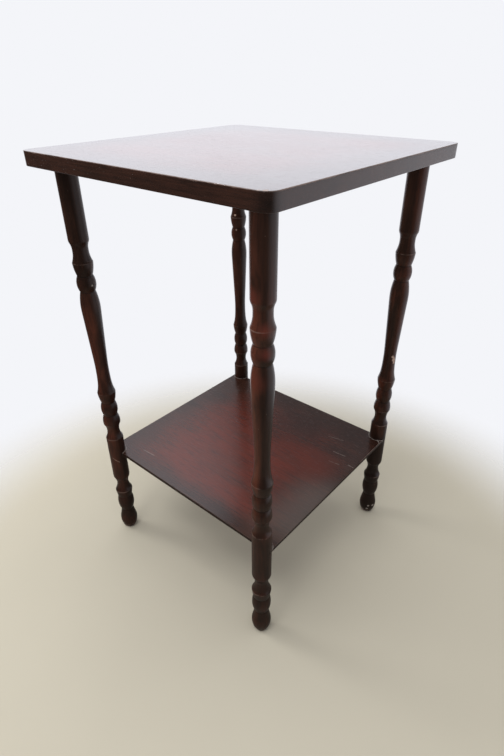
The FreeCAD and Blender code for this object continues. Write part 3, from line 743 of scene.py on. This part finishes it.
def board(name, box, corner, arris, finish, node):
    """A board: the section of its edge carried round a rectangle with rounded corners. A ring is the outline,
    drawn in by an inset along its own normal and shrunk by a share towards the middle; the flat faces are
    rings that shrink to a point, and the arrises are quarter circles of inset and height. The field arris is
    0 on the flats and on the edge, highest half way round an arris, and lower on the arrises underneath."""
    corner_points, side_points, arris_points, edge_rows = 13, 40, 6, 4
    flat_shares = np.array((0, 0.3, 0.6, 0.85, 0.96, 1))
    flat_inset_share, least_worn_share, under_share = 1.4, 0.65, 0.6
    low, high = np.array(box[0]), np.array(box[1])
    middle, half = (low + high) / 2, (high - low) / 2
    pivots = np.array(((1, 1), (-1, 1), (-1, -1), (1, -1))) * (half[:2] - corner)
    quarter = np.linspace(0, math.pi / 2, corner_points)
    along = np.linspace(0, 1, side_points + 2)[1:-1, None]
    core, normal = [], []
    for turn, (pivot, after) in enumerate(zip(pivots, np.roll(pivots, -1, axis=0))):
        bearing = quarter + turn * math.pi / 2
        ways = np.stack((np.cos(bearing), np.sin(bearing)), axis=-1)
        core += [np.repeat(pivot[None], len(quarter), axis=0), pivot + (after - pivot) * along]
        normal += [ways, np.repeat(ways[-1:], len(along), axis=0)]
    core, normal = np.concatenate(core), np.concatenate(normal)

    ease = np.linspace(0, math.pi / 2, arris_points)
    flat, edge = np.zeros(len(flat_shares)), np.zeros(edge_rows)
    shrink = np.concatenate((flat_shares, np.ones(len(ease))))
    inset = np.concatenate((flat + arris * flat_inset_share, arris * (1 - np.sin(ease))))
    drop = np.concatenate((flat, arris * (1 - np.cos(ease))))
    worn = np.concatenate((flat, np.sin(2 * ease) * (1 - least_worn_share) + least_worn_share))
    down = np.linspace(0, 1, edge_rows + 2)[1:-1] * (high[2] - low[2] - 2 * arris)
    height = np.concatenate((high[2] - drop, high[2] - arris - down, (low[2] + drop)[::-1]))
    shrink = np.concatenate((shrink, edge + 1, shrink[::-1]))
    inset = np.concatenate((inset, edge, inset[::-1]))
    worn = np.concatenate((worn, edge, worn[::-1] * under_share))
    ring = (core[None] + (corner - inset)[:, None, None] * normal[None]) * shrink[:, None, None]
    rise = np.broadcast_to(height[:, None, None], (*ring.shape[:2], 1))
    points = np.concatenate((ring + middle[:2], rise), axis=-1).reshape(-1, 3)
    return make_piece(name, [(points, grid_faces(len(height), len(core)))], finish, node,
                      {"arris": np.repeat(worn, len(core))})


def drill_top(top, rods):
    """Takes the rods out of the top's mesh, which leaves the blind holes."""
    tool = add_object("drill", closed_mesh("drill", rods))
    cut = top.modifiers.new("blind_holes", "BOOLEAN")
    cut.operation, cut.solver, cut.object = "DIFFERENCE", "EXACT", tool
    bpy.context.view_layer.update()
    bored = bpy.data.meshes.new_from_object(top.evaluated_get(bpy.context.evaluated_depsgraph_get()))
    top.modifiers.remove(cut)
    top.data = bored
    bored.name = top.name
    bored.set_sharp_from_angle(angle=SHARP_TURN)
    bpy.data.objects.remove(tool)


class EndTableMakeTop(bpy.types.Operator):
    """Square top with rounded corners and four blind holes for the insert nuts"""

    bl_idname = "end_table.make_top"
    bl_label = "Make Top"

    def execute(self, context):
        sizes, colours = context.scene.end_table_sizes, context.scene.end_table_colours
        near = Vector((TOP_BOX[1].x, TOP_BOX[0].y, TOP_BOX[1].z))
        marks = placed(TOP_MARKS, lambda *away: near + Vector(away))
        gloss = {"face": 0.95, "side": 0.15, "blur": 0.13, "lacquer": 1.55, "wood": 1.55, "darker_sides": 0.0}
        bands, rub_and_highlight = (sizes.top_band,) * 4, 0.65
        finish = board_finish("top_board", TOP_BOX, colours.stain_red, bands, rub_and_highlight, gloss, marks)
        top = board("top_board", TOP_BOX, sizes.top_corner, sizes.top_arris,
                    finish, "table_top")

        columns, overrun = 32, 5 * MM
        radius = np.array((0, 1, 1, 0)) * sizes.nut_hole
        height = np.repeat((TOP_BOX[0].z - overrun, TOP_BOX[0].z + sizes.nut_hole_depth), 2)
        drill_top(top, [turned_patch(radius, height, middle_of(f"insert_nut_{corner}"), full_turn(columns))
                        for corner in CORNERS])
        return {"FINISHED"}


class EndTableMakeShelf(bpy.types.Operator):
    """Thin shelf board, let into the kerfs of the legs"""

    bl_idname = "end_table.make_shelf"
    bl_label = "Make Shelf"

    def execute(self, context):
        sizes, colours = context.scene.end_table_sizes, context.scene.end_table_colours
        ring_radius, ring_width = 0.0154, 0.0014
        rings = [("ring", "dust", 0.6, tuple(middle_of(f"leg_{corner}").xy), ring_radius, ring_width)
                 for corner in CORNERS]
        marks = placed((*SHELF_MARKS, *rings), lambda x, y: (x, y, SHELF_BOX[1].z))
        gloss = {"face": 1.0, "side": 0.0, "blur": 0.20, "lacquer": 1.45, "wood": 1.30, "darker_sides": 0.65}
        # Shaded-edge stain, whose wider bands on the right and back also paint the shade under the top
        bands, rub_and_highlight = (0.092, 0.104, 0.050, 0.150), 0.2
        finish = board_finish("shelf_board", SHELF_BOX, colours.shelf_middle, bands, rub_and_highlight, gloss, marks)
        board("shelf_board", SHELF_BOX, sizes.shelf_corner, sizes.shelf_arris,
              finish, "shelf")
        return {"FINISHED"}


def thread(height, angles, pitch):
    """Depth of a thread: a triangle wave, 0 at the crest and 1 at the root, that climbs a pitch each turn."""
    phase = (height[:, None] / pitch - angles[None] / (2 * math.pi)) % 1
    return np.abs(2 * phase - 1)


class EndTableMakeFixings(bpy.types.Operator):
    """Hanger bolts and insert nuts with their threads, and the nails of the shelf"""

    bl_idname = "end_table.make_fixings"
    bl_label = "Make Fixings"

    def execute(self, context):
        sizes, colours = context.scene.end_table_sizes, context.scene.end_table_colours
        steel = metal_finish("bolt_steel_drawn", colours.steel, colours.bolt_tarnish)
        brass = metal_finish("insert_brass_turned", colours.brass, colours.brass_tarnish)
        nail = metal_finish("nail_steel_drawn", colours.steel, colours.nail_tarnish)
        columns = 28
        for corner in CORNERS:
            self.bolt(sizes, f"hanger_bolt_{corner}", full_turn(columns), steel)
            self.nut(sizes, f"insert_nut_{corner}", full_turn(columns), brass)
            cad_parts[f"shelf_nail_{corner}"].data.materials[0] = nail
        return {"FINISHED"}

    def bolt(self, sizes, node, angles, finish):
        """A rod whose radius falls from crest to root by a thread: coarse in the leg, fine above it, with a
        plain neck between them and tapered ends."""
        rows, relief = 260, 0.2 * MM
        neck_start, neck_end = TOP_BOX[0].z - 3 * MM, TOP_BOX[0].z - 1 * MM
        point, point_share = 8 * MM, 0.35
        chamfer, chamfer_share = 1.2 * MM, 0.6
        low, high = (np.array(end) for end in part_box(node))
        height = np.linspace(low[2], high[2], rows)
        coarse = sizes.wood_thread_depth * thread(height, angles, sizes.wood_thread)
        fine = relief + sizes.machine_thread_depth * thread(height, angles, sizes.machine_thread)
        cut = np.where((height > neck_end)[:, None], fine, relief)
        cut = np.where((height < neck_start)[:, None], coarse, cut)
        lower, upper = (height - low[2]) / point + point_share, (high[2] - height) / chamfer + chamfer_share
        radius = ((high[0] - low[0]) / 2 - cut) * np.clip(np.minimum(lower, upper), 0, 1)[:, None]
        axis = np.zeros((1, len(angles)))
        radius = np.concatenate((axis, radius, axis))
        height = np.concatenate(([low[2]], height, [high[2]]))
        rod = turned_patch(radius, height, middle_of(node), angles)
        make_piece(f"threaded_{node}", [rod], finish, node)

    def nut(self, sizes, node, angles, finish):
        """A sleeve: a coarse thread outside with eased ends, a plain bore inside, flat ends."""
        rows, ease_length, ease_depth = 70, 1.2 * MM, 0.5 * MM
        low, high = (np.array(end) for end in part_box(node))
        height = np.linspace(low[2], high[2], rows)
        inward = np.clip(np.minimum(height - low[2], high[2] - height) / ease_length, 0, 1)[:, None]
        cut = sizes.nut_thread_depth * thread(height, angles, sizes.wood_thread) + ease_depth * (1 - inward)
        outside = (high[0] - low[0]) / 2 - cut
        radius = np.concatenate((outside, np.full((2, len(angles)), sizes.nut_bore), outside[:1]))
        height = np.concatenate((height, [high[2], low[2], low[2]]))
        sleeve = turned_patch(radius, height, middle_of(node), angles)
        make_piece(f"threaded_{node}", [sleeve], finish, node)


class EndTableMakeStage(bpy.types.Operator):
    """Pale floor that fades into a plain backdrop, four lamps, the light all round, and the camera"""

    bl_idname = "end_table.make_stage"
    bl_label = "Make Stage"

    def execute(self, context):
        stage, colours = context.scene.end_table_stage, context.scene.end_table_colours
        self.floor(stage, colours)
        self.lamps(stage)
        self.world(context, stage, colours)
        self.camera(context, stage)
        context.scene.view_settings.view_transform = "Standard"
        return {"FINISHED"}

    def floor(self, stage, colours):
        """A flat square of faintly clouded floor that turns clear away from the table and is dim in gloss."""
        cloud_share, gloss_share, points_across = 0.9, 0.3, 11
        finish = new_finish("stage_floor")
        place = finish.place()
        cloud = finish.noise(place, (3, 3, 3), detail=3)
        shade = finish.mix(colours.floor, tuple(cloud_share * part for part in colours.floor), cloud)
        mirrored = finish.node("ShaderNodeLightPath", output="Is Glossy Ray")
        shade = finish.mix(shade, tuple(gloss_share * part for part in colours.floor), mirrored)
        plain = finish.node("ShaderNodeBsdfPrincipled", None, {
            "Base Color": shade, "Roughness": 0.85, "Specular IOR Level": 0.1})
        clear = finish.node("ShaderNodeBsdfTransparent")
        away = finish.between(finish.apart(place, stage.floor_middle), stage.floor_solid, stage.floor_gone)
        finish.surface(finish.node("ShaderNodeMixShader", None, {0: away, 1: plain, 2: clear}))
        mesh = bpy.data.meshes.new("stage_floor")
        side = np.linspace(-stage.floor_half, stage.floor_half, points_across)
        points = np.stack(np.meshgrid(side, side, [0.0], indexing="ij"), axis=-1).reshape(-1, 3)
        quads = grid_faces(points_across, points_across, False)[..., ::-1].reshape(-1, 4)
        mesh.from_pydata(points, [], quads)
        mesh.materials.append(finish.owner)
        add_object("stage_floor", mesh)

    def lamps(self, stage):
        """A large soft light overhead and a weaker one from the left, which gloss doesn't show, and two small
        lamps that gloss shows as soft glints and points of light."""
        target = Vector((0, 0, 0.3))
        lamps = (
            ("soft_key", 2.6, stage.key_power, (-0.20, -0.30, 2.6)),
            ("soft_side", 0.8, stage.side_power, (-2.0, -0.7, 0.6)),
            ("glint_lamp", 0.5, stage.glint_power, (0.1, -1.2, 2.6)),
            ("point_lamp", 0.12, stage.point_power, (-1.25, -0.25, 2.1)),
        )
        for name, width, power, place in lamps:
            lamp = bpy.data.lights.new(name, "AREA")
            lamp.shape, lamp.size, lamp.energy = "DISK", width, power
            light = add_object(name, lamp)
            light.location = place
            light.visible_glossy = not name.startswith("soft")
            light.visible_diffuse = not name.startswith("point")
            light.rotation_euler = (target - light.location).to_track_quat("-Z", "Y").to_euler()

    def world(self, context, stage, colours):
        """Even fill light for the pieces, the plain backdrop for the camera, and a shaded one for gloss."""
        context.scene.world = bpy.data.worlds.new("stage_world")
        finish = Finish(context.scene.world)
        camera, gloss, through = (finish.node("ShaderNodeLightPath", output=f"Is {kind} Ray")
                                  for kind in ("Camera", "Glossy", "Transmission"))
        seen = finish.mix(self.mirrored(finish), colours.backdrop, camera)
        fill = finish.node("ShaderNodeBackground", None, {
            "Color": (*colours.backdrop, 1.0), "Strength": stage.fill})
        backdrop = finish.node("ShaderNodeBackground", None, {"Color": seen, "Strength": 1.0})
        shown = (camera + gloss + through).least(1.0)
        finish.node("ShaderNodeOutputWorld", None, {
            "Surface": finish.node("ShaderNodeMixShader", None, {0: shown, 1: fill, 2: backdrop})})

    def mirrored(self, finish):
        """What gloss shows of the backdrop, by the direction that it is seen in: dim in front of the table
        and bright behind it. It is fully lit on the left and low down, in shade elsewhere, and a little
        darker on the right. By height it is bright near the level, dim above that, and bright again in a
        high band."""
        dim, bright = (0.04, 0.036, 0.032), (1.54, 1.543, 1.654)
        x, y, z = finish.axes(finish.node("ShaderNodeTexCoord", output="Generated"))
        lit = finish.between((0.0 - x) / y.most(0.05), 0.84, 1.13).most(finish.between(z, 0.48, 0.20))
        start = -0.15 - finish.between(x, 0.0, 0.9) * 0.30
        behind = finish.between((y - start) / (0.40 - start), 0.0, 1.0)
        right = finish.between(x, 0.0, 0.45)
        near = finish.between(z, 0.10, 0.20) * finish.between(z, 0.45, 0.30)
        high = finish.between(z, 0.48, 0.74) * finish.between(z, 0.95, 0.82)
        height = finish.between(z, 0.50, 0.42) * 0.34 + near * 0.13 + high * 0.80 + 0.27
        return finish.mix(dim, bright, behind * (0.18 + lit * 0.86) * (1.0 - right * 0.22) * height)

    def camera(self, context, stage):
        """A pinhole view: back points from the scene to the camera, right and up lean with the roll. The
        picture's height, its longer side, spans the sensor."""
        turn, tilt, lean = stage.azimuth, stage.elevation, stage.roll
        back = Vector((math.sin(turn) * math.cos(tilt), -math.cos(turn) * math.cos(tilt), math.sin(tilt)))
        level = Vector((math.cos(turn), math.sin(turn), 0))
        rise = back.cross(level)
        right = level * math.cos(lean) + rise * math.sin(lean)
        up = rise * math.cos(lean) - level * math.sin(lean)
        lens = bpy.data.cameras.new("view")
        lens.lens = stage.focal_pixels * lens.sensor_width / stage.picture_pixels
        lens.clip_start = 10 * MM
        view = add_object("view", lens)
        turned = Matrix((right, up, back)).transposed().to_4x4()
        view.matrix_world = Matrix.Translation(stage.place) @ turned
        context.scene.camera = view


GROUPS = {
    "end_table_sizes": EndTableSizes, "end_table_colours": EndTableColours, "end_table_stage": EndTableStage}
OPERATORS = (EndTableMakeLegs, EndTableMakeTop, EndTableMakeShelf, EndTableMakeFixings, EndTableMakeStage)


class EndTablePanel(bpy.types.Panel):
    """Lists the pieces of the end table and what can be changed"""

    bl_idname = "VIEW3D_PT_end_table"
    bl_label = "End Table"
    bl_space_type = "VIEW_3D"
    bl_region_type = "UI"
    bl_category = "End Table"

    def draw(self, context):
        for operator in OPERATORS:
            self.layout.operator(operator.bl_idname)
        for name, group in GROUPS.items():
            box = self.layout.box()
            for field in group.__annotations__:
                box.prop(getattr(context.scene, name), field)


CLASSES = (*GROUPS.values(), *OPERATORS, EndTablePanel)


def register():
    """Registers the classes and gives each scene its sizes, colours and stage."""
    for cls in CLASSES:
        bpy.utils.register_class(cls)
    for name, group in GROUPS.items():
        setattr(bpy.types.Scene, name, bpy.props.PointerProperty(type=group))


def unregister():
    """Takes back what register did."""
    for name in GROUPS:
        delattr(bpy.types.Scene, name)
    for cls in reversed(CLASSES):
        bpy.utils.unregister_class(cls)


def main():
    """Makes every piece and the stage."""
    register()
    bpy.ops.end_table.make_legs()
    bpy.ops.end_table.make_top()
    bpy.ops.end_table.make_shelf()
    bpy.ops.end_table.make_fixings()
    bpy.ops.end_table.make_stage()


if __name__ == "__main__":
    main()
